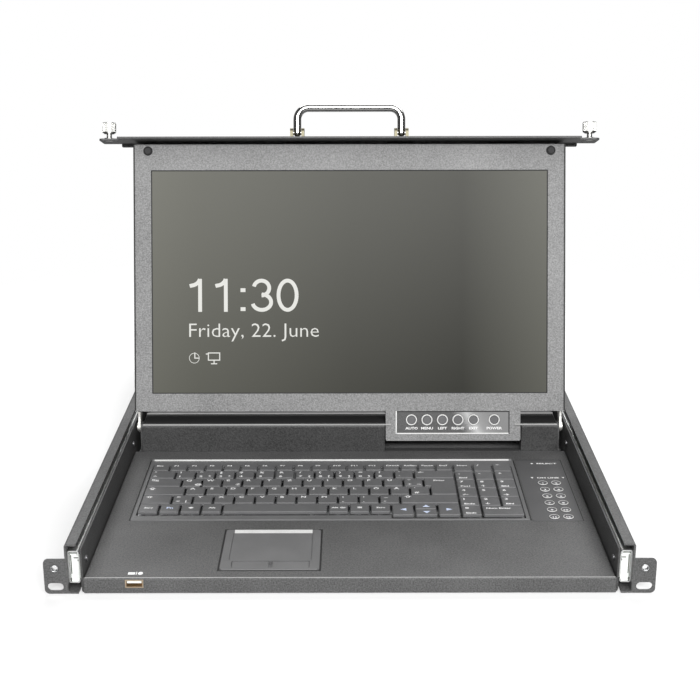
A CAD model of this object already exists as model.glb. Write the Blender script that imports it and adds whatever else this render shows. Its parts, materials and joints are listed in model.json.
import bmesh
import bpy
import json
import math
from mathutils import Euler, Matrix, Vector


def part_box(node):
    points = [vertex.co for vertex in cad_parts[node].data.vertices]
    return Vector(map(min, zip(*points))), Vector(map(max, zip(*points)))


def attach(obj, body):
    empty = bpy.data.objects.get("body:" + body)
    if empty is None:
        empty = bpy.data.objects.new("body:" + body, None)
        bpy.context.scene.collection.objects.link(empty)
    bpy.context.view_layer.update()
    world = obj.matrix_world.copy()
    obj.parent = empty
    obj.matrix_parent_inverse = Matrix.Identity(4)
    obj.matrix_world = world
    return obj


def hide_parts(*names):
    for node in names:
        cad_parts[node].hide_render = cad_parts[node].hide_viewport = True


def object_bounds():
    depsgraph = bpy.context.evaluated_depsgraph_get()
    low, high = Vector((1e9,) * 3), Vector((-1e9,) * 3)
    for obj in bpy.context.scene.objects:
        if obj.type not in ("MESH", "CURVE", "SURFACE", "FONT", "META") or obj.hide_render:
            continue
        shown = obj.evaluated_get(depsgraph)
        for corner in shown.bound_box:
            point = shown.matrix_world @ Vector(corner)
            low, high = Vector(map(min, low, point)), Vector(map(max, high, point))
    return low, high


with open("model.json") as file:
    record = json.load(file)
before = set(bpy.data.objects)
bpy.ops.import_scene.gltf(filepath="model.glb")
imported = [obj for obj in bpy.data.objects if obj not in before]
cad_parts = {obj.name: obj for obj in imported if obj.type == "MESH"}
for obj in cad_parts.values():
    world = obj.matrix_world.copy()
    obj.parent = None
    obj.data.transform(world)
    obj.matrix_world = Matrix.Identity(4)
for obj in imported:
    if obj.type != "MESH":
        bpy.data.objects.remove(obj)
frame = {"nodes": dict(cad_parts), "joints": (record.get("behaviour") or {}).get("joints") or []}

cad_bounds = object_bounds()

# ---- Studio ---------------------------------------------------------------------------------
# A white floor that fades into a white surround, with wide soft lamps in front of the drawer, over
# it and behind it. The camera stands before the tray, a little above the opened screen.
scene = bpy.context.scene
scene.view_settings.view_transform = "Standard"

camera = bpy.data.objects.new("camera", bpy.data.cameras.new("camera"))
camera.data.sensor_width = 36.0
camera.data.lens = 68.19
camera.data.clip_end = 30.0
camera.location = (0.00086, -0.93990, 0.49926)
camera.rotation_euler = Euler([math.radians(angle) for angle in (72.138, 0.101, -0.004)])
scene.collection.objects.link(camera)
scene.camera = camera


class Number:
    """What a node gives out. Arithmetic on it adds the Math nodes that work it out."""

    def __init__(self, recipe, socket):
        self.recipe = recipe
        self.socket = socket

    def _worked(self, operation, first, second):
        return self.recipe.node("ShaderNodeMath", {"operation": operation}, {0: first, 1: second})

    def __add__(self, other):
        return self._worked("ADD", self, other)

    def __radd__(self, other):
        return self._worked("ADD", other, self)

    def __sub__(self, other):
        return self._worked("SUBTRACT", self, other)

    def __rsub__(self, other):
        return self._worked("SUBTRACT", other, self)

    def __mul__(self, other):
        return self._worked("MULTIPLY", self, other)

    def __rmul__(self, other):
        return self._worked("MULTIPLY", other, self)


class Recipe:
    """A node tree, of a material, of the world or of grown geometry, and the way to add its nodes."""

    def __init__(self, owner):
        self.owner = owner
        if isinstance(owner, bpy.types.NodeTree):
            self.tree = owner
        else:
            owner.use_nodes = True
            self.tree = owner.node_tree
        self.tree.nodes.clear()

    def node(self, kind, settings=None, inputs=None, output=0):
        """Adds a node: its settings are set first, then what its sockets hold or link to."""
        added = self.tree.nodes.new(kind)
        for name, value in (settings or {}).items():
            if name == "stops":
                while len(added.color_ramp.elements) < len(value):
                    added.color_ramp.elements.new(1.0)
                for element, (place, shade) in zip(added.color_ramp.elements, value):
                    element.position = place
                    element.color = shade
            else:
                setattr(added, name, value)
        for name, value in (inputs or {}).items():
            for each in value if isinstance(value, list) else [value]:
                if isinstance(each, Number):
                    self.tree.links.new(each.socket, added.inputs[name])
                else:
                    added.inputs[name].default_value = each
        return Number(self, added.outputs[output]) if added.outputs else None


def grey(level):
    return (level, level, level, 1.0)


scene.world = bpy.data.worlds.new("surround")
surround = Recipe(scene.world)
surround_fill = 0.16
surround_in_gloss = 0.10
seen_directly = surround.node("ShaderNodeLightPath", output="Is Camera Ray")
seen_through = surround.node("ShaderNodeLightPath", output="Is Transmission Ray")
seen_in_gloss = surround.node("ShaderNodeLightPath", output="Is Glossy Ray")
seen = surround.node("ShaderNodeClamp", None, {"Value": seen_directly + seen_through})
surround.node("ShaderNodeOutputWorld", None, {
    "Surface": surround.node("ShaderNodeBackground", None, {
        "Color": grey(1.0),
        "Strength": (surround_fill + seen * (1.0 - surround_fill)
                     + seen_in_gloss * (surround_in_gloss - surround_fill)),
    }),
})


def soft_lamp(name, place, target, width, height, power):
    lamp = bpy.data.objects.new(name, bpy.data.lights.new(name, "AREA"))
    lamp.data.shape = "RECTANGLE"
    lamp.data.size = width
    lamp.data.size_y = height
    lamp.data.energy = power
    lamp.location = place
    lamp.rotation_euler = (Vector(target) - Vector(place)).to_track_quat("-Z", "Y").to_euler()
    scene.collection.objects.link(lamp)


soft_lamp("front_softbox", (0.25, -2.1, 1.45), (0.0, 0.2, 0.1), 2.6, 0.7, 78.0)
soft_lamp("overhead_softbox", (0.25, -0.9, 2.1), (0.0, 0.2, 0.0), 2.0, 1.2, 15.0)
soft_lamp("rear_softbox", (0.3, 1.5, 1.45), (0.0, 0.0, 0.0), 2.6, 0.8, 38.0)

floor_mesh = bpy.data.meshes.new("floor")
floor_reach = 2.0
floor_middle = 0.25
floor_gap = 0.0004
floor_level = cad_bounds[0][2] - floor_gap
floor_corners = ((-1, -1), (1, -1), (1, 1), (-1, 1))
floor_mesh.from_pydata(
    [(x * floor_reach, y * floor_reach + floor_middle, floor_level) for x, y in floor_corners],
    [], [(0, 1, 2, 3)])
floor = bpy.data.objects.new("floor", floor_mesh)
scene.collection.objects.link(floor)
paper = Recipe(bpy.data.materials.new("floor_paper"))
from_middle = paper.node("ShaderNodeVectorMath", {"operation": "DISTANCE"}, {
    0: paper.node("ShaderNodeTexCoord", output="Object"),
    1: (0.0, floor_middle, floor_level),
}, output="Value")
fade_starts = 0.35
fade_ends = 0.9
least_fade = 0.4
fade = paper.node("ShaderNodeMapRange", {"interpolation_type": "SMOOTHSTEP"}, {
    "Value": from_middle, "From Min": fade_starts, "From Max": fade_ends})
paper.node("ShaderNodeOutputMaterial", None, {
    "Surface": paper.node("ShaderNodeMixShader", None, {
        0: fade * (1.0 - least_fade) + least_fade,
        1: paper.node("ShaderNodeBsdfDiffuse", None, {"Color": grey(0.96)}),
        2: paper.node("ShaderNodeBsdfTransparent"),
    }),
})
floor_mesh.materials.append(paper.owner)

# ---- Side channels, ears and rear brackets --------------------------------------------------
# Folded 1.5 mm sheet steel, powder coated black with a fine grain. The channels carry the
# slides and end in the rack ears; the brackets slide in their tails to suit the rack's depth.


def principled(recipe, **sockets):
    """Ends a material in one Principled shader with these sockets."""
    inputs = {name.replace("_", " "): value for name, value in sockets.items()}
    shader = recipe.node("ShaderNodeBsdfPrincipled", None, inputs)
    recipe.node("ShaderNodeOutputMaterial", None, {"Surface": shader})
    return recipe.owner


def blotches(recipe, size, detail=2.0, stretch=(1.0, 1.0, 1.0)):
    """Noise whose patches are about size metres across, from 0 to 1, stretched along an axis."""
    place = recipe.node("ShaderNodeMapping", None, {
        "Vector": recipe.node("ShaderNodeTexCoord", output="Object"),
        "Scale": stretch,
    })
    return recipe.node("ShaderNodeTexNoise", None, {
        "Vector": place, "Scale": 1.0 / size, "Detail": detail, "Roughness": 0.55})


def ramp(recipe, factor, *stops):
    """A colour that runs with the factor through these stops, each (place, colour)."""
    return recipe.node("ShaderNodeValToRGB", {"stops": stops}, {"Fac": factor})


def shades(recipe, factor, colour, contrast):
    """The colour, darker to lighter by the contrast as the factor goes from 0.3 to 0.7."""
    dark, light = [tuple(min(1.0, part * (1.0 + way * contrast)) for part in colour) + (1.0,)
                   for way in (-1, 1)]
    return ramp(recipe, factor, (0.3, dark), (0.7, light))


def raised(recipe, height, depth):
    """The surface's normal over a pattern that stands depth metres proud."""
    return recipe.node("ShaderNodeBump", None, {"Height": height, "Strength": 0.6, "Distance": depth})


def powder_coat(name, level, grain=0.0013, contrast=0.62):
    """Textured powder coat of this grey: small beads, a few of them catching the light."""
    recipe = Recipe(bpy.data.materials.new(name))
    beads = blotches(recipe, grain, detail=3.0)
    clouds = blotches(recipe, 0.06)
    return principled(
        recipe,
        Base_Color=shades(recipe, beads * 0.8 + clouds * 0.2, (level, level, level), contrast),
        Roughness=0.42 + beads * 0.22,
        Specular_IOR_Level=0.5,
        Normal=raised(recipe, beads, 0.0004),
    )


def paint(material, *nodes):
    """Gives CAD nodes this material."""
    for node in nodes:
        for slot in frame["nodes"][node].material_slots:
            slot.material = material


black_coat = powder_coat("black_coat", 0.092)
paint(black_coat, "channel_left", "channel_right", "rear_brackets")

# ---- Press nuts and slide screws ------------------------------------------------------------
# A nut pressed into each ear, and coated with it, takes the thumbscrew on a bare zinc thread. Zinc
# plated screws with a cross recess hold the slides' outer members, their heads outside.


def plated(name, colour, roughness, streak=(1.0, 1.0, 1.0), contrast=0.12):
    """Plated steel: bright, with faint streaks and small changes of gloss from the bath."""
    recipe = Recipe(bpy.data.materials.new(name))
    streaks = blotches(recipe, 0.0016, stretch=streak)
    clouds = blotches(recipe, 0.02)
    return principled(
        recipe,
        Base_Color=shades(recipe, streaks * 0.5 + clouds * 0.5, colour, contrast),
        Metallic=1.0,
        Roughness=roughness + clouds * 0.14,
        Normal=raised(recipe, streaks, 0.00004),
    )


def planted(name, **sockets):
    """An empty geometry tree that takes points and these named inputs, and gives the inputs to read."""
    recipe = Recipe(bpy.data.node_groups.new(name, "GeometryNodeTree"))
    face = recipe.tree.interface
    face.new_socket("Geometry", in_out="OUTPUT", socket_type="NodeSocketGeometry")
    face.new_socket("Points", in_out="INPUT", socket_type="NodeSocketGeometry")
    for socket, kind in sockets.items():
        face.new_socket(socket, in_out="INPUT", socket_type="NodeSocket" + kind)
    given = {socket: recipe.node("NodeGroupInput", output=socket) for socket in ("Points", *sockets)}
    return recipe, given


def lifted(recipe, geometry, height):
    offset = recipe.node("ShaderNodeCombineXYZ", None, {"Z": height})
    return recipe.node("GeometryNodeTransform", None, {"Geometry": geometry, "Translation": offset})


def rod(recipe, sides, radius, length, middle):
    """A cylinder along Z whose middle is at this height."""
    cylinder = recipe.node("GeometryNodeMeshCylinder", None, {
        "Vertices": sides, "Radius": radius, "Depth": length})
    return lifted(recipe, cylinder, middle)


def slab(recipe, width, depth, height, middle):
    """A box whose middle is at this height."""
    size = recipe.node("ShaderNodeCombineXYZ", None, {"X": width, "Y": depth, "Z": height})
    return lifted(recipe, recipe.node("GeometryNodeMeshCube", None, {"Size": size}), middle)


def repeated(recipe, points, geometry, turn=(0.0, 0.0, 0.0)):
    """The geometry, turned, at each of the points."""
    copies = recipe.node("GeometryNodeInstanceOnPoints", None, {
        "Points": points, "Instance": geometry, "Rotation": turn})
    return recipe.node("GeometryNodeRealizeInstances", None, {"Geometry": copies})


def coated(recipe, geometry, material):
    return recipe.node("GeometryNodeSetMaterial", None, {"Geometry": geometry, "Material": material})


def harvested(recipe, given, geometry, facing):
    """Ends a geometry tree: one copy of the geometry at each point, its own Z turned to facing."""
    turn = recipe.node("FunctionNodeAlignRotationToVector", {"axis": "Z"}, {"Vector": facing})
    copies = repeated(recipe, given["Points"], geometry, turn)
    recipe.node("NodeGroupOutput", None, {"Geometry": coated(recipe, copies, given["Material"])})
    return recipe.tree


def screw_tree():
    """A screw with a bevelled head and a cross recess at each point, its head turned away from X = 0."""
    recipe, given = planted("cross_screw", Radius="Float", Height="Float", Bevel="Float", Shank="Float",
                            Length="Float", Material="Material")
    body = given["Height"] - given["Bevel"]
    drum = rod(recipe, 40, given["Radius"], body, body * 0.5)
    crown = lifted(recipe, recipe.node("GeometryNodeMeshCone", None, {
        "Vertices": 40, "Radius Top": given["Radius"] - given["Bevel"], "Radius Bottom": given["Radius"],
        "Depth": given["Bevel"]}), body)
    shank = rod(recipe, 24, given["Shank"], given["Length"], given["Length"] * -0.5)
    solid = recipe.node("GeometryNodeMeshBoolean", {"operation": "UNION"}, {"Mesh 2": [drum, crown, shank]})
    long_side = given["Radius"] * 1.25
    short_side = given["Radius"] * 0.3
    arms = [slab(recipe, width, depth, given["Height"], given["Height"])
            for width, depth in ((long_side, short_side), (short_side, long_side))]
    head = recipe.node("GeometryNodeMeshBoolean", {"operation": "DIFFERENCE"}, {
        "Mesh 1": solid, "Mesh 2": arms})
    side = recipe.node("ShaderNodeMath", {"operation": "SIGN"}, {
        0: recipe.node("ShaderNodeSeparateXYZ", None, {"Vector": recipe.node("GeometryNodeInputPosition")})})
    return harvested(recipe, given, head, recipe.node("ShaderNodeCombineXYZ", None, {"X": side}))


def grown(name, tree, points, body, **inputs):
    """A piece grown by a geometry tree from these points, made plain mesh, that rides on a body."""
    seeds = bpy.data.meshes.new(name)
    seeds.from_pydata(points, [], [])
    piece = bpy.data.objects.new(name, seeds)
    scene.collection.objects.link(piece)
    modifier = piece.modifiers.new(name, "NODES")
    modifier.node_group = tree
    for socket in tree.interface.items_tree:
        if socket.in_out == "INPUT" and socket.name in inputs:
            modifier[socket.identifier] = inputs[socket.name]
    evaluated = piece.evaluated_get(bpy.context.evaluated_depsgraph_get())
    mesh = bpy.data.meshes.new_from_object(evaluated)
    piece.modifiers.remove(modifier)
    piece.data = mesh
    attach(piece, body)
    return piece


def ring_tree():
    """A ring with a round section at each point, square to the facing direction."""
    recipe, given = planted("ring", Radius="Float", Thickness="Float", Facing="Vector", Material="Material")
    path = recipe.node("GeometryNodeCurvePrimitiveCircle", None, {
        "Resolution": 40, "Radius": given["Radius"]})
    section = recipe.node("GeometryNodeCurvePrimitiveCircle", None, {
        "Resolution": 10, "Radius": given["Thickness"] * 0.5})
    ring = recipe.node("GeometryNodeCurveToMesh", None, {"Curve": path, "Profile Curve": section})
    return harvested(recipe, given, ring, given["Facing"])


def solids_of(node):
    """(lowest, highest corner) of each separate solid of a CAD node, from left to right, then back."""
    shape = bmesh.new()
    shape.from_mesh(frame["nodes"][node].data)
    bmesh.ops.remove_doubles(shape, verts=shape.verts, dist=1e-6)
    left = set(shape.verts)
    boxes = []
    while left:
        found = [left.pop()]
        for vertex in found:
            for edge in vertex.link_edges:
                other = edge.other_vert(vertex)
                if other in left:
                    left.remove(other)
                    found.append(other)
        places = [vertex.co for vertex in found]
        boxes.append((Vector([min(place[axis] for place in places) for axis in range(3)]),
                      Vector([max(place[axis] for place in places) for axis in range(3)])))
    shape.free()
    return sorted(boxes, key=lambda ends: (round(ends[0].x, 4), round(ends[0].y, 4)))


zinc = plated("zinc", (0.72, 0.73, 0.74), 0.24)
paint(black_coat, "panel_nuts")
screws = screw_tree()
chassis_head_height = 0.0013
screw_places = []
for low, high in solids_of("chassis_screws"):
    middle = (low + high) / 2
    seat = max(abs(low.x), abs(high.x)) - chassis_head_height
    screw_places.append((math.copysign(seat, middle.x), middle.y, middle.z))
chassis_screws = grown("chassis_screws_visual", screws, screw_places, "chassis", Radius=0.0032,
                       Height=chassis_head_height, Bevel=0.0005, Shank=0.00155, Length=0.0027,
                       Material=zinc)
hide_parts("chassis_screws")

rings = ring_tree()
thread_radius = 0.0027
thread_pitch = 0.0009
thread_turns = 4
first_thread = 0.0004
thread_places = []
for low, high in solids_of("panel_nuts"):
    middle = (low + high) / 2
    for turn in range(thread_turns):
        thread_places.append((middle.x, low.y + first_thread + turn * thread_pitch, middle.z))
nut_threads = grown("nut_threads", rings, thread_places, "chassis", Radius=thread_radius, Thickness=0.0005,
                    Facing=(0.0, 1.0, 0.0), Material=zinc)

# ---- Ball slides ----------------------------------------------------------------------------
# Rolled steel members, zinc plated bright, with polished balls in thin cages between them and
# a moulded nylon buffer on each drawer member's front end. The rolling leaves faint lines.

rolled_zinc = plated("rolled_zinc", (0.88, 0.89, 0.88), 0.30, streak=(1.0, 0.02, 1.0))
paint(rolled_zinc, "slide_outer_left", "slide_outer_right", "slide_middle_left", "slide_middle_right",
      "slide_inner_left", "slide_inner_right")
paint(plated("ball_steel", (0.78, 0.79, 0.80), 0.06, contrast=0.04), "ball_cage_left", "ball_cage_right")


def moulded(name, colour, roughness=0.5, grain=0.0007, depth=0.00006):
    """Moulded plastic with the fine spark grain of its tool."""
    recipe = Recipe(bpy.data.materials.new(name))
    pits = blotches(recipe, grain, detail=2.0)
    wear = blotches(recipe, 0.025)
    return principled(
        recipe,
        Base_Color=shades(recipe, pits * 0.5 + wear * 0.5, colour, 0.14),
        Roughness=roughness + wear * 0.16 - 0.08,
        Normal=raised(recipe, pits, depth),
    )


nylon = moulded("nylon", (0.86, 0.89, 0.85), 0.42)
paint(nylon, "slide_buffers")


def finished(name, shape, body, material):
    """Makes a bmesh into a piece of this material that rides on a body."""
    mesh = bpy.data.meshes.new(name)
    shape.to_mesh(mesh)
    shape.free()
    mesh.materials.append(material)
    piece = bpy.data.objects.new(name, mesh)
    scene.collection.objects.link(piece)
    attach(piece, body)


def blocks(name, body, material, boxes):
    """One piece made of boxes, each (x0, x1, y0, y1, z0, z1), that rides on a body."""
    shape = bmesh.new()
    for x0, x1, y0, y1, z0, z1 in boxes:
        size = Matrix.Diagonal((x1 - x0, y1 - y0, z1 - z0, 1.0))
        middle = Matrix.Translation(((x0 + x1) / 2, (y0 + y1) / 2, (z0 + z1) / 2))
        bmesh.ops.create_cube(shape, size=1.0, matrix=middle @ size)
    finished(name, shape, body, material)


gap_dark = moulded("gap_dark", (0.008, 0.008, 0.008), 0.6)
film_thickness = 0.00005
toe_half = 0.0031
toe_setback = 0.0003
toe_drop = 0.0024
toe_lap = 0.0006
# Each slot's outer and inner side from the buffer's middle, and its foot and head from its foot.
slots_in_buffer = (
    (0.0032, 0.0025, 0.0040, 0.0205),
    (0.0006, -0.0030, 0.0176, 0.0184),
    (-0.0024, -0.0030, 0.0150, 0.0166),
)
buffer_toes = []
buffer_slots = []
for low, high in solids_of("slide_buffers"):
    middle = (low.x + high.x) / 2
    outward = math.copysign(1.0, middle)
    buffer_toes.append((middle - toe_half, middle + toe_half, low.y + toe_setback, high.y,
                        low.z - toe_drop, low.z + toe_lap))
    for outer, inner, foot, head in slots_in_buffer:
        ends = sorted((middle + outward * outer, middle + outward * inner))
        buffer_slots.append((*ends, low.y - film_thickness, low.y + film_thickness,
                             low.z + foot, low.z + head))
blocks("buffer_toes", "drawer", nylon, buffer_toes)
blocks("buffer_slots", "drawer", gap_dark, buffer_slots)

# ---- Tray, deck and rear box ----------------------------------------------------------------
# Folded sheet steel in the same coat, darker on the tray and on the rear box over the board. The
# deck's lip hides the tray's front edge, and small screws hold the tray. Thin light films lie where
# the folds catch the light, and a dark foam seal lies across the box.

deck_coat = powder_coat("deck_coat", 0.094)
wall_coat = powder_coat("wall_coat", 0.060)
paint(deck_coat, "top_deck")
paint(wall_coat, "drawer_tray", "rear_panel")
paint(powder_coat("box_coat", 0.052), "rear_box_cover")
paint(plated("dark_zinc", (0.36, 0.36, 0.37), 0.3), "drawer_screws")

cover_low, cover_high = (Vector(corner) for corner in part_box("rear_box_cover"))
well_left = 0.0400
well_right = 0.1600


def skinned(shape, rings, closed=False):
    """Walls from each ring of points to the next, then on to the first ring or with both ends shut."""
    rings = [[shape.verts.new(point) for point in ring] for ring in rings]
    if closed:
        rings.append(rings[0])
    else:
        shape.faces.new(rings[0])
        shape.faces.new(rings[-1])
    for first, second in zip(rings, rings[1:]):
        for corner in range(len(first)):
            after = (corner + 1) % len(first)
            shape.faces.new((first[corner], first[after], second[after], second[corner]))
    bmesh.ops.recalc_face_normals(shape, faces=shape.faces)


def slopes(name, body, material, strips):
    """Thin films on sloping faces, each (x0, x1, front, its level, back, its level)."""
    shape = bmesh.new()
    for x0, x1, front, front_level, back, back_level in strips:
        lift = Vector((0.0, front_level - back_level, back - front)).normalized() * film_thickness
        profile = ((front, front_level, 0), (back, back_level, 0), (back, back_level, 1),
                   (front, front_level, 1))
        skinned(shape, [[Vector((x, y, z)) + lift * rise for y, z, rise in profile] for x in (x0, x1)])
    finished(name, shape, body, material)


edge_sheen = moulded("edge_sheen", (0.40, 0.40, 0.395), 0.3)
film_inset = 0.001
cover_spans = ((cover_low.x + film_inset, well_left), (well_right, cover_high.x - film_inset))
bend_front = cover_low.y + 0.0008
bend_back = cover_low.y + 0.0022
bend_drop = 0.0010
bend_end_drop = 0.0001
slopes("cover_bend_sheen", "drawer", edge_sheen, [
    (left, right, bend_front, cover_high.z - bend_drop, bend_back, cover_high.z - bend_end_drop)
    for left, right in cover_spans])
sheen_front = cover_low.y + 0.0290
sheen_back = cover_low.y + 0.0330
slopes("cover_top_sheen", "drawer", edge_sheen, [
    (left, right, sheen_front, cover_high.z, sheen_back, cover_high.z)
    for left, right in cover_spans])
lip_half = 0.2095
lip_front = 0.0004
lip_back = 0.0011
lip_drop = 0.0007
lip_rise = 0.0001
deck_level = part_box("top_deck")[1][2]
slopes("lip_sheen", "drawer", edge_sheen, [
    (-lip_half, lip_half, lip_front, deck_level - lip_drop, lip_back, deck_level + lip_rise)])
foam = moulded("foam", (0.010, 0.010, 0.010), 0.85)
seal_front = cover_low.y + 0.0052
seal_back = cover_low.y + 0.0285
seal_height = 0.0004
seal_inset = 0.002
seal_spans = ((cover_low.x + seal_inset, well_left), (well_right, cover_high.x - seal_inset))
blocks("rear_box_seal", "drawer", foam, [
    (left, right, seal_front, seal_back, cover_high.z, cover_high.z + seal_height)
    for left, right in seal_spans])

# ---- Rear sockets, inlet and board ----------------------------------------------------------
# Twelve fifteen-pin sockets, each a nickel plated shell round a blue insulator with fifteen gold
# flashed contacts, a moulded black mains inlet, and the green board behind them.

paint(plated("nickel_shell", (0.66, 0.65, 0.62), 0.22), "port_sockets")
paint(moulded("inlet_black", (0.03, 0.03, 0.031), 0.34), "power_inlet")
paint(moulded("board_green", (0.035, 0.16, 0.07), 0.38, grain=0.004), "control_board")
socket_blue = moulded("socket_blue", (0.03, 0.07, 0.22), 0.4)
gold_flash = plated("gold_flash", (0.62, 0.50, 0.36), 0.3)


def socket_face_tree():
    """The insulator of a socket with its three rows of contacts, at each point, facing backwards."""
    recipe, given = planted("socket_face", Width="Float", Height="Float", Sheet="Float", Pitch="Float",
                            Contact="Float", Material="Material", Metal="Material")
    block = slab(recipe, given["Width"], given["Height"], given["Sheet"], given["Sheet"] * 0.5)
    grid = recipe.node("GeometryNodeMeshGrid", None, {
        "Size X": given["Pitch"] * 4.0, "Size Y": given["Pitch"] * 2.0, "Vertices X": 5, "Vertices Y": 3})
    contact = recipe.node("GeometryNodeMeshCylinder", None, {
        "Vertices": 12, "Radius": given["Contact"], "Depth": given["Sheet"]})
    contacts = lifted(recipe, coated(recipe, repeated(recipe, grid, contact), given["Metal"]),
                      given["Sheet"] * 0.75)
    both = recipe.node("GeometryNodeJoinGeometry", None, {
        "Geometry": [coated(recipe, block, given["Material"]), contacts]})
    backwards = (math.radians(-90.0), 0.0, 0.0)
    recipe.node("NodeGroupOutput", None, {"Geometry": repeated(recipe, given["Points"], both, backwards)})
    return recipe.tree


socket_places = []
for low, high in solids_of("port_sockets"):
    middle = (low + high) / 2
    socket_places.append((middle.x, high.y, middle.z))
socket_faces = grown("socket_faces", socket_face_tree(), socket_places, "drawer", Width=0.0135,
                     Height=0.0066, Sheet=0.0003, Pitch=0.0023, Contact=0.0005, Material=socket_blue,
                     Metal=gold_flash)

# ---- Keyboard -------------------------------------------------------------------------------
# Low keys of dark grey plastic in a moulded frame, with their legends printed in white at the
# top left of each cap, and those of the function key's second layer in pale blue. A block beside
# the Enter key completes its wide upper half.

frame_plastic = moulded("frame_plastic", (0.142, 0.142, 0.144), 0.42)
paint(frame_plastic, "keyboard_frame")
board_low, board_high = (Vector(corner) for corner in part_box("keyboard_frame"))
board_flange = Vector((0.003, 0.003, 0.0))
board_low += board_flange
board_high -= board_flange
board_gap = 0.0011
blocks("keyboard_gap", "drawer", gap_dark, [
    (left, left + board_gap, board_low.y, board_high.y, deck_level, deck_level + film_thickness)
    for left in (board_low.x - board_gap, board_high.x)])
rail_shine = moulded("rail_shine", (0.62, 0.62, 0.61), 0.3)
rail_left = board_low.x + 0.003
rail_right = board_high.x - 0.004
rail_front = board_high.y - 0.0024
rail_back = board_high.y - 0.0012
rail_rise = 0.0011
slopes("keyboard_rail_edge", "drawer", rail_shine, [
    (rail_left, rail_right, rail_front, board_high.z - rail_rise, rail_back, board_high.z)])
paint(zinc, "keyboard_base")
key_plastic = moulded("key_plastic", (0.134, 0.134, 0.137), 0.38)
print_white = moulded("print_white", (0.92, 0.92, 0.91), 0.5)
print_blue = moulded("print_blue", (0.62, 0.70, 0.92), 0.5)
print_sheet = 0.00003
print_stretch = 1.3
letter_height = 0.0036
word_height = 0.0027
legend_side = 0.0030
third_legend_side = 0.0050
legend_margin = 0.0020


def written(text, height, weight=0.0):
    """Letters as a bmesh, with capitals this high and strokes made heavier or lighter by the weight."""
    letters = bpy.data.curves.new("letters", "FONT")
    letters.body = text
    letters.resolution_u = 2
    letters.extrude = print_sheet / 2
    letters.offset = weight
    holder = bpy.data.objects.new("letters", letters)
    scene.collection.objects.link(holder)
    mesh = bpy.data.meshes.new_from_object(holder)
    bpy.data.objects.remove(holder)
    shape = bmesh.new()
    shape.from_mesh(mesh)
    bpy.data.meshes.remove(mesh)
    cap_height = 0.729
    for vertex in shape.verts:
        vertex.co.x *= height / cap_height
        vertex.co.y *= height / cap_height
    return shape


def sides_of(shape):
    places = [vertex.co.x for vertex in shape.verts]
    return min(places), max(places)


def printed(name, body, material, labels, weight=0.030):
    """One piece of print that rides on a body. A label is (text, height, place, width or None)."""
    whole = bmesh.new()
    for text, height, place, width in labels:
        shape = written(text, height, weight)
        left, right = sides_of(shape)
        stretch = print_stretch if width is None else width / (right - left)
        for vertex in shape.verts:
            vertex.co.x = (vertex.co.x - left) * stretch
        bmesh.ops.transform(shape, matrix=place, verts=shape.verts)
        part = bpy.data.meshes.new("part")
        shape.to_mesh(part)
        shape.free()
        whole.from_mesh(part)
        bpy.data.meshes.remove(part)
    finished(name, whole, body, material)


def word_width(text, height):
    shape = written(text, height)
    left, right = sides_of(shape)
    shape.free()
    return (right - left) * print_stretch


def key_labels(solid, legends):
    """Labels of one key: its first legend top left, the second below it, the third bottom right."""
    low, high = solid
    level = high.z + print_sheet
    labels = []
    corners = (
        (low.x + legend_side, high.y - legend_margin - letter_height),
        (low.x + legend_side, low.y + legend_margin),
        (high.x - third_legend_side, low.y + legend_margin),
    )
    for legend, (x, y) in zip(legends, corners):
        if legend:
            height = letter_height if len(legend) == 1 else word_height
            labels.append((legend, height, Matrix.Translation((x, y, level)), None))
    return labels


def centred_label(solid, legend, height, sunk=0.0):
    """A label in the middle of a key's or button's top, or sunk in its dish."""
    low, high = solid
    middle = (low + high) / 2
    width = word_width(legend, height)
    level = high.z - sunk + print_sheet
    return (legend, height, Matrix.Translation((middle.x - width / 2, middle.y - height / 2, level)), None)


def from_back(solid):
    """Sorts solids into rows from the back, each from left to right."""
    low, high = solid
    return (-round(low.y, 3), low.x)


key_legends = {
    "keys_function": [("Esc",)] + [(f"F{number}",) for number in range(1, 13)]
    + [("Druck",), ("Rollen",), ("Pause",), ("Entf",)],
    "keys_number": [
        ("\u00b0", "^"), ("!", "1"), ("\u201d", "2", "\u00b2"), ("\u00a7", "3", "\u00b3"), ("$", "4"),
        ("%", "5"), ("&", "6"), ("/", "7", "{"), ("(", "8", "["), (")", "9", "]"), ("=", "0", "}"),
        ("?", "\u00df"), ("`", "\u00b4"), ("\u2190",)],
    "keys_upper": [("\u21b9",), ("Q", "", "@"), ("W",), ("E", "", "\u20ac")]
    + [(letter,) for letter in "RTZUIOP\u00dc"] + [("*", "+", "~")],
    "keys_home": [("\u21ea",)] + [(letter,) for letter in "ASDFGHJKL\u00d6\u00c4"]
    + [("'", "#"), ("Enter",)],
    "keys_lower": [("\u21e7",), (">", "<", "|")] + [(letter,) for letter in "YXCVBNM"]
    + [(";", ","), (":", "."), ("_", "-"), ("\u21e7",)],
    "keys_numpad": [
        ("Num",), ("/",), ("*",), (",", "Entf"), ("-",), ("+",), ("7", "Pos1"), ("8", "\u2191"),
        ("9", "Bild"), ("4", "\u2190"), ("5",), ("6", "\u2192"), ("1", "Ende"), ("2", "\u2193"),
        ("3", "Bild"), ("0", "Einfg"), ("Num Enter",)],
}
for row, legends in key_legends.items():
    solids = solids_of(row)
    if row == "keys_numpad":
        solids.sort(key=from_back)
    labels = []
    for solid, legend in zip(solids, legends):
        labels += key_labels(solid, legend)
    printed(row + "_print", row, print_white, labels)

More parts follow.
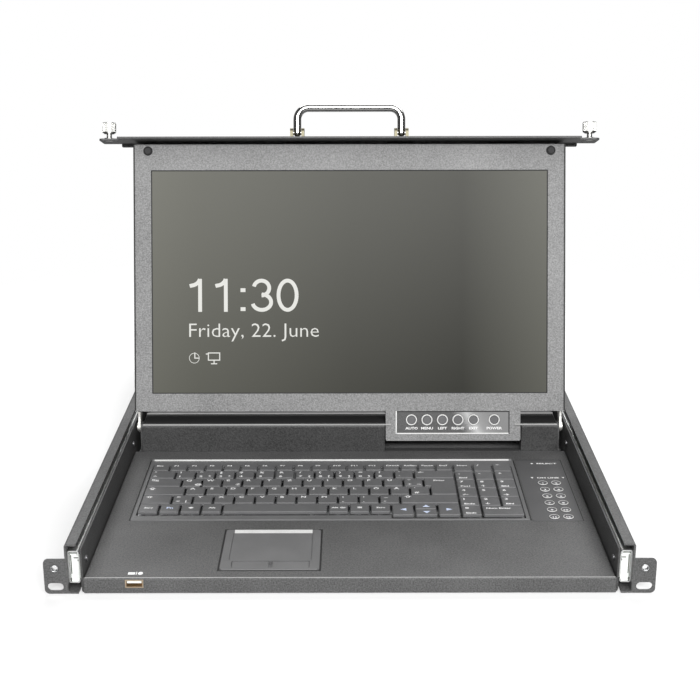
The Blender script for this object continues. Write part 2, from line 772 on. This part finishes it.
bottom_solids = solids_of("keys_bottom")
bottom_words = {0: "Strg", 2: "◆", 3: "Alt", 4: "Alt Gr", 5: "▤", 6: "Strg"}
printed("keys_bottom_print", "keys_bottom", print_white,
        [centred_label(bottom_solids[place], word, word_height) for place, word in bottom_words.items()])
blue_words = {1: "Fn", 7: "◄", 8: "▼", 9: "▲", 10: "►"}
printed("keys_bottom_layer_print", "keys_bottom", print_blue,
        [centred_label(bottom_solids[place], word, letter_height) for place, word in blue_words.items()])
paint(key_plastic, "keys_bottom", "key_space", *key_legends)

enter_low, enter_high = solids_of("keys_home")[-1]
beside_low, beside_high = solids_of("keys_upper")[-1]
key_gap = 0.0019
key_bevel = 0.0007
cap_depth = 0.0028
step_left = beside_high.x + key_gap
step_right = enter_low.x + key_bevel
step_rings = []
for depth, inset in ((cap_depth, 0.0), (key_bevel, 0.0), (0.0, key_bevel)):
    left = step_left + inset
    front = beside_low.y + inset
    back = enter_high.y - inset
    corners = ((left, front), (step_right, front), (step_right, back), (left, back))
    step_rings.append([(x, y, enter_high.z - depth) for x, y in corners])
step = bmesh.new()
skinned(step, step_rings)
finished("enter_key_step", step, "keys_home", key_plastic)

# ---- Touchpad -------------------------------------------------------------------------------
# A moulded frame round a smooth touch surface, with two wide buttons in front of it. A dark gap
# runs round the frame, and a thin light film lies where its sloping rear edge catches the light.

paint(frame_plastic, "touchpad_frame")
pad_low, pad_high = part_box("touchpad_frame")
pad_flange = 0.002
pad_line = 0.0014
gap_inset = pad_flange - pad_line
gap_section = ((gap_inset, 0), (pad_flange, 0), (pad_flange, 1), (gap_inset, 1))
pad_corners = ((pad_low[0], pad_low[1], 1, 1), (pad_high[0], pad_low[1], -1, 1),
               (pad_high[0], pad_high[1], -1, -1), (pad_low[0], pad_high[1], 1, -1))
touchpad_gap = bmesh.new()
skinned(touchpad_gap, [
    [(x + x_way * inset, y + y_way * inset, deck_level + rise * film_thickness)
     for inset, rise in gap_section]
    for x, y, x_way, y_way in pad_corners], closed=True)
finished("touchpad_gap", touchpad_gap, "drawer", gap_dark)
ramp_inset = pad_flange + 0.0073
ramp_drop = 0.0012
ramp_foot = pad_high[1] - pad_flange - 0.0048
ramp_head = pad_high[1] - pad_flange - 0.0008
ramp_sheen = moulded("ramp_sheen", (0.60, 0.60, 0.59), 0.3)
slopes("touchpad_ramp_sheen", "drawer", ramp_sheen, [
    (pad_low[0] + ramp_inset, pad_high[0] - ramp_inset,
     ramp_foot, pad_high[2] - ramp_drop, ramp_head, pad_high[2])])
touch_plastic = moulded("touch_plastic", (0.146, 0.146, 0.148), 0.4, grain=0.0004, depth=0.00002)
paint(touch_plastic, "touchpad_surface", "touchpad_button_left", "touchpad_button_right")

# ---- Port keypad ----------------------------------------------------------------------------
# A printed film on the deck with twelve round buttons, one for each port. Each button has a
# pale moulded ring round its dished middle and its port's number printed in it.

film = moulded("film", (0.088, 0.088, 0.09), 0.5)
paint(film, "keypad_overlay")
paint(moulded("button_plastic", (0.095, 0.095, 0.098), 0.4), "keypad_buttons")
ring_plastic = moulded("ring_plastic", (0.80, 0.80, 0.79), 0.35)

button_solids = solids_of("keypad_buttons")
button_ring = 0.0041
button_ring_thickness = 0.0007
ring_sink = 0.35
ring_places = []
for low, high in button_solids:
    middle = (low + high) / 2
    ring_places.append((middle.x, middle.y, high.z - button_ring_thickness * ring_sink))
keypad_rings = grown("keypad_rings", rings, ring_places, "keypad_buttons", Radius=button_ring,
                     Thickness=button_ring_thickness, Facing=(0.0, 0.0, 1.0), Material=ring_plastic)

number_height = 0.0026
dish_depth = 0.00045
button_solids.sort(key=from_back)
printed("keypad_numbers", "keypad_buttons", print_white,
        [centred_label(solid, str(number), number_height, dish_depth)
         for number, solid in enumerate(button_solids, start=1)])

film_low, film_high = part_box("keypad_overlay")
film_print = film_high[2] + print_sheet
line_foot = 0.1952
sign_height = 0.0026
# Each sign or word: its text, height, left side, foot and width.
film_labels = (
    ("●", 0.0022, 0.1722, 0.2294, 0.0024),
    ("SELECT", sign_height, 0.1775, 0.2292, 0.0195),
    ("▼", sign_height, 0.1680, line_foot, sign_height),
    ("ON LINE", sign_height, 0.1737, line_foot, 0.0204),
    ("▼", sign_height, 0.1968, line_foot, sign_height),
)
printed("keypad_film_print", "drawer", print_white,
        [(text, height, Matrix.Translation((x, y, film_print)), width)
         for text, height, x, y, width in film_labels])
film_line = 0.0007
blocks("keypad_film_edge", "drawer", gap_dark, [
    (film_high[0] - film_line, film_high[0], film_low[1], film_high[1], film_high[2], film_print),
    (film_low[0], film_high[0], film_high[1] - film_line, film_high[1], film_high[2], film_print)])

# ---- Front socket ---------------------------------------------------------------------------
# A gold-flashed steel shell with a white tongue and four contacts, in the deck's lip, and the
# mark for keyboard and mouse printed on the deck behind it.

paint(gold_flash, "usb_port")
shell_low, shell_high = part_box("usb_port")
shell_middle = (shell_low[0] + shell_high[0]) / 2
tongue_half = 0.0056
tongue_sheet = 0.0017
tongue_length = 0.007
tongue_front = shell_low[1] + 0.0008
tongue_under = shell_low[2] + 0.00385
tongue_over = tongue_under + tongue_sheet
skin = 0.00012
blocks("usb_tongue", "drawer", nylon, [
    (shell_middle - tongue_half - skin, shell_middle + tongue_half + skin,
     tongue_front - skin, tongue_front + tongue_length, tongue_under - skin, tongue_over + skin)])
contact_half = 0.0006
contact_pitch = 0.0025
contact_front = tongue_front + 0.0004
contact_back = tongue_front + 0.006
contact_middles = [shell_middle + place * contact_pitch for place in (-1.5, -0.5, 0.5, 1.5)]
blocks("usb_contacts", "drawer", gold_flash, [
    (middle - contact_half, middle + contact_half, contact_front, contact_back,
     tongue_under - 2 * skin, tongue_under - skin)
    for middle in contact_middles])
deck_top = film_low[2]
mark_level = deck_top + print_sheet
keyboard_mark = (-0.1762, -0.1706, 0.0060, 0.0100)
stroke_mark = (-0.1699, -0.1692, 0.0058, 0.0107)
mouse_place = Matrix.Translation((-0.1684, 0.0058, mark_level))
mouse_height = 0.0046
mouse_width = 0.0040
blocks("usb_mark", "drawer", print_white, [
    (*mark, deck_top, mark_level) for mark in (keyboard_mark, stroke_mark)])
printed("usb_mouse_mark", "drawer", print_white,
        [("●", mouse_height, mouse_place, mouse_width)])

# ---- Screen hinge ---------------------------------------------------------------------------
# Nickel plated steel arms on the screen carry the pins that it turns on. The pins sit in steel
# stands on the tray, coated black as the channels are.

paint(plated("satin_nickel", (0.93, 0.92, 0.87), 0.48), "hinge_arms")
paint(black_coat, "hinge_stands")

# ---- Screen ---------------------------------------------------------------------------------
# A folded steel bezel in a paler textured coat and a black back cover, round a matt display that
# shows a plain picture: the time, the date and two small marks on a grey-green ground.

paint(powder_coat("bezel_coat", 0.226, grain=0.0013, contrast=0.50), "lcd_bezel")
paint(black_coat, "lcd_back_cover")
paint(moulded("rubber", (0.03, 0.03, 0.031), 0.7), "bezel_bumpers")

hinge_place = next(Vector(joint["pos_m"]) for joint in frame["joints"] if joint["name"] == "lcd_hinge")
screen_lean = math.radians(16.3)
screen_up = Vector((0.0, math.sin(screen_lean), math.cos(screen_lean)))
screen_out = Vector((0.0, -math.cos(screen_lean), math.sin(screen_lean)))


def on_screen(x, u, v):
    """Point of the opened screen: x across it, u up from the hinge, v out towards the user."""
    return hinge_place + Vector((x, 0.0, 0.0)) + screen_up * u + screen_out * v


def screen_matrix(x, u, v):
    place = on_screen(x, u, v)
    turn = Matrix((Vector((1.0, 0.0, 0.0)), screen_up, screen_out)).transposed().to_4x4()
    return Matrix.Translation(place) @ turn


def coordinate(recipe, axis):
    """Where a point of the object lies along an axis."""
    place = recipe.node("ShaderNodeTexCoord", output="Object")
    return recipe.node("ShaderNodeSeparateXYZ", None, {"Vector": place}, output=axis)


def glowing(name, dark, light, low, high):
    """A lit display: its colour runs from light at the left and top to dark, and lightens at the right."""
    recipe = Recipe(bpy.data.materials.new(name))
    across = recipe.node("ShaderNodeMapRange", None, {
        "Value": coordinate(recipe, "X"), "From Min": low.x, "From Max": high.x})
    rise = recipe.node("ShaderNodeMapRange", None, {
        "Value": coordinate(recipe, "Z"), "From Min": low.z, "From Max": high.z})
    sides = ramp(recipe, across, (0.0, grey(1.0)), (0.12, grey(0.72)), (0.5, grey(0.22)),
                 (0.78, grey(0.0)), (1.0, grey(0.75)))
    grain = blotches(recipe, 0.0012)
    return principled(
        recipe,
        Base_Color=grey(0.012),
        Roughness=0.34 + grain * 0.1,
        Specular_IOR_Level=0.2,
        Emission_Color=ramp(recipe, sides * 0.72 + rise * 0.28, (0.0, dark), (1.0, light)),
        Emission_Strength=1.0,
    )


panel_low, panel_high = (Vector(corner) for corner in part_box("lcd_panel"))
picture = glowing("picture", (0.006, 0.006, 0.000, 1.0), (0.145, 0.145, 0.118, 1.0), panel_low, panel_high)
paint(picture, "lcd_panel")
bezel_face = 0.0138
bezel_sheet = 0.0015
panel_v = bezel_face - bezel_sheet + print_sheet
picture_ink = glowing("picture_ink", (0.74, 0.74, 0.70, 1.0), (0.78, 0.78, 0.74, 1.0), panel_low, panel_high)
date_left = -0.1560
date_foot = 0.0885
date_height = 0.0141
date_width = 0.1260
date_weight = -0.008
printed("picture_date", "lcd", picture_ink,
        [("Friday, 22. June", date_height, screen_matrix(date_left, date_foot, panel_v), date_width)],
        weight=date_weight)


def arc(middle, reach, start, end, steps=28):
    """Points of an elliptic arc between two angles in degrees."""
    angles = [math.radians(start + (end - start) * step / steps) for step in range(steps + 1)]
    return [(middle[0] + reach[0] * math.cos(angle), middle[1] + reach[1] * math.sin(angle))
            for angle in angles]


def stroked(name, material, width, paths):
    """Flat strokes of one width on the display along these paths of (x, u) points."""
    shape = bmesh.new()
    for path in paths:
        sections = []
        for place, point in enumerate(path):
            before = path[max(place - 1, 0)]
            after = path[min(place + 1, len(path) - 1)]
            along = Vector((after[0] - before[0], after[1] - before[1])).normalized()
            side = Vector((-along.y, along.x)) * (width / 2)
            sections.append([
                on_screen(point[0] + side.x * way, point[1] + side.y * way, panel_v + rise)
                for rise, way in ((0.0, 1), (0.0, -1), (print_sheet, -1), (print_sheet, 1))])
        skinned(shape, sections)
    finished(name, shape, "lcd", material)


digit_foot = 0.1130
digit_height = 0.0320
stroke = 0.0037
hook_length = 0.0100
hook_foot = digit_foot + 0.0250
hook_bend = (0.0090, 0.0080)
hook_rise = 0.0335
colon_left = -0.1060
colon_right = -0.1012
colon_lift = stroke * 0.7
colon_pitch = 0.0184
three_head = (-0.0856, digit_foot + 0.0230)
three_head_reach = (0.0075, 0.0072)
three_foot = (-0.0853, digit_foot + 0.0093)
three_foot_reach = (0.0090, 0.0075)
zero_middle = (-0.0603, digit_foot + digit_height / 2)
zero_reach = (0.0088, 0.0142)
clock_paths = []
for stem in (-0.1453, -0.1203):
    bend_middle = (stem - hook_bend[0], digit_foot + hook_rise)
    clock_paths.append([(stem, digit_foot), (stem, digit_foot + digit_height)])
    clock_paths.append([(stem - hook_length, hook_foot)] + arc(bend_middle, hook_bend, -85.0, -12.0, 10))
for dot in (0.0, colon_pitch):
    clock_paths.append([(x, digit_foot + dot + colon_lift) for x in (colon_left, colon_right)])
clock_paths.append(arc(three_head, three_head_reach, 168.0, -90.0))
clock_paths.append(arc(three_foot, three_foot_reach, 90.0, -168.0))
clock_paths.append(arc(zero_middle, zero_reach, 0.0, 360.0, 48))
stroked("picture_clock", picture_ink, stroke, clock_paths)


def screen_strips(name, material, strips, level=panel_v):
    """Flat strips on the display or at another level, each (x0, x1, u0, u1)."""
    shape = bmesh.new()
    for x0, x1, u0, u1 in strips:
        size = Matrix.Diagonal((x1 - x0, u1 - u0, print_sheet, 1.0))
        place = screen_matrix((x0 + x1) / 2, (u0 + u1) / 2, level)
        bmesh.ops.create_cube(shape, size=1.0, matrix=place @ size)
    finished(name, shape, "lcd", material)


def border(left, right, foot, head, line):
    """Four strips of one width along the inner edges of a rectangle."""
    return [(left, left + line, foot, head), (right - line, right, foot, head),
            (left, right, foot, foot + line), (left, right, head - line, head)]


mark_line = 0.0010
sign_left, sign_right = -0.1380, -0.1260
sign_foot, sign_head = 0.0655, 0.0725
sign_middle = (sign_left + sign_right) / 2
stand_drop = 0.0030
stand_half = 0.0030
tab_width = 0.0020
dial_x, dial_u = -0.1512, 0.0680
dial_radius = 0.0048
dial_line = 0.0008
dial_sink = 0.0003
long_hand = 0.0055
short_hand = 0.0050
stand_foot = sign_foot - stand_drop
half_line = mark_line / 2
sign_edges = border(sign_left, sign_right, sign_foot, sign_head + mark_line, mark_line)
screen_strips("picture_marks", picture_ink, sign_edges + [
    (sign_middle - half_line, sign_middle + half_line, stand_foot, sign_foot),
    (sign_middle - stand_half, sign_middle + stand_half, stand_foot - half_line, stand_foot + half_line),
    (sign_left - tab_width, sign_left, sign_head - mark_line, sign_head),
    (dial_x, dial_x + mark_line, dial_u, dial_u + long_hand),
    (dial_x, dial_x + short_hand, dial_u - half_line, dial_u + half_line)])
picture_dial = grown("picture_dial", rings, [tuple(on_screen(dial_x, dial_u, panel_v - dial_sink))], "lcd",
                     Radius=dial_radius, Thickness=dial_line, Facing=tuple(screen_out), Material=picture_ink)

window_half = 0.19215
window_foot = 0.0334
window_head = 0.2500
seal_line = 0.0009
screen_strips("display_seal", gap_dark,
              border(-window_half, window_half, window_foot, window_head, seal_line))
bezel_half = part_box("lcd_bezel")[1][0]
lid_line = 0.0014
lid_line_foot = 0.0170
lid_line_head = 0.2745
lid_line_rise = 0.0003
bezel_v = bezel_face + print_sheet
screen_strips("bezel_edges", gap_dark, [
    (-bezel_half, -bezel_half + lid_line, lid_line_foot, lid_line_head),
    (bezel_half - lid_line, bezel_half, lid_line_foot, lid_line_head)], bezel_v + lid_line_rise)

# ---- Menu buttons ---------------------------------------------------------------------------
# A glossy dark film in the bezel's tab with six domed buttons, each in a pale ring, and their
# words printed under them.

panel_recipe = Recipe(bpy.data.materials.new("panel_film"))
film_grain = blotches(panel_recipe, 0.0012)
film_shine = panel_recipe.node("ShaderNodeMapRange", {"interpolation_type": "SMOOTHSTEP"}, {
    "Value": coordinate(panel_recipe, "X") + coordinate(panel_recipe, "Z") * 0.6,
    "From Min": 0.124, "From Max": 0.166})
panel_film = principled(
    panel_recipe,
    Base_Color=ramp(panel_recipe, film_shine + (film_grain - 0.5) * 0.12, (0.0, grey(0.085)),
                    (0.34, grey(0.50)), (0.6, grey(0.30)), (1.0, grey(0.22))),
    Roughness=0.24 + film_grain * 0.1,
)
paint(panel_film, "osd_panel")
menu_left, menu_right = 0.0446, 0.1553
menu_foot, menu_head = -0.0061, 0.0162
menu_line = 0.0010
screen_strips("menu_edge_light", ring_plastic, [
    (menu_left, menu_left + menu_line, menu_foot, menu_head),
    (menu_left, menu_right - menu_line, menu_foot, menu_foot + menu_line)], bezel_v)
screen_strips("menu_edge_dark", gap_dark, [
    (menu_right - menu_line, menu_right, menu_foot, menu_head),
    (menu_left + menu_line, menu_right, menu_head - menu_line, menu_head)], bezel_v)
dome_plastic = moulded("dome_plastic", (0.14, 0.14, 0.143), 0.25)
menu_words = ("AUTO", "MENU", "LEFT", "RIGHT", "EXIT", "POWER")
menu_word_height = 0.0024
menu_word_foot = -0.0017
menu_recess = 0.0007
menu_film_sheet = 0.0004
menu_film_v = bezel_face - menu_recess + menu_film_sheet + print_sheet
menu_ring = 0.0048
menu_ring_thickness = 0.0012
menu_button_u = 0.0076
labels = []
for number, word in enumerate(menu_words, start=1):
    node = f"osd_button_{number}"
    paint(dome_plastic, node)
    low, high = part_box(node)
    x = (low[0] + high[0]) / 2
    ring = grown(node + "_ring", rings, [tuple(on_screen(x, menu_button_u, bezel_face))], node,
                 Radius=menu_ring, Thickness=menu_ring_thickness, Facing=tuple(screen_out),
                 Material=ring_plastic)
    width = word_width(word, menu_word_height)
    place = screen_matrix(x - width / 2, menu_word_foot, menu_film_v)
    labels.append((word, menu_word_height, place, None))
printed("menu_words", "lcd", print_white, labels)

# ---- Front plate, handle and thumbscrews ----------------------------------------------------
# A coated steel plate with a chromed folding handle in zinc plated brackets, and two captive
# screws with knurled heads, nickel plated, in ferrules pressed into the plate.

paint(black_coat, "front_plate")
paint(plated("chrome", (0.60, 0.60, 0.59), 0.05, contrast=0.03), "handle")
paint(plated("bracket_zinc", (0.16, 0.148, 0.105), 0.36), "handle_brackets")
screw_nickel = plated("screw_nickel", (0.42, 0.42, 0.405), 0.3)
paint(screw_nickel, "thumbscrew_ferrules", "thumbscrew_ring_left", "thumbscrew_ring_right")


def knob_tree():
    """A knurled head on a plain neck at each point, with a screwdriver slot across its end."""
    recipe, given = planted("knob", Radius="Float", Height="Float", Bevel="Float", Ribs="Int", Rib="Float",
                            Neck="Float", Length="Float", Facing="Vector", Material="Material")
    core_radius = given["Radius"] - given["Rib"]
    waist = given["Height"] - given["Bevel"] * 2.0
    core = rod(recipe, 48, core_radius, given["Height"], given["Height"] * 0.5)
    circle = recipe.node("GeometryNodeMeshCircle", None, {"Vertices": given["Ribs"], "Radius": core_radius})
    rib = recipe.node("GeometryNodeMeshCylinder", None, {
        "Vertices": 6, "Radius": given["Rib"], "Depth": waist})
    ribs = lifted(recipe, repeated(recipe, circle, rib), given["Height"] * 0.5)
    slot_cut = slab(recipe, given["Radius"] * 2.0, given["Radius"] * 0.18, given["Radius"] * 0.42,
                    given["Height"])
    head = recipe.node("GeometryNodeMeshBoolean", {"operation": "DIFFERENCE"}, {
        "Mesh 1": core, "Mesh 2": [slot_cut]})
    neck = rod(recipe, 32, given["Neck"], given["Length"], given["Length"] * -0.5)
    whole = recipe.node("GeometryNodeJoinGeometry", None, {"Geometry": [head, ribs, neck]})
    return harvested(recipe, given, whole, given["Facing"])


knobs = knob_tree()
knob_radius = 0.0066
knob_height = 0.0096
lid_head = 0.2780
plate_clearance = 0.0003
plate_sheet = 0.0017
knob_stand_off = 0.0063
plate_front = lid_head + plate_clearance + plate_sheet
knob_foot = plate_front + knob_stand_off
ear_hole_height = 0.015875
ear_hole_side = 0.23255
knob_v = hinge_place.z - ear_hole_height
for side, way in (("left", -1), ("right", 1)):
    node = "thumbscrew_" + side
    knob = grown(node + "_visual", knobs, [tuple(on_screen(way * ear_hole_side, knob_foot, knob_v))], node,
                 Radius=knob_radius, Height=knob_height, Bevel=0.0007, Ribs=44, Rib=0.0003, Neck=0.0025,
                 Length=knob_foot - plate_front + plate_sheet, Facing=tuple(screen_up),
                 Material=screw_nickel)
    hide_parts(node)
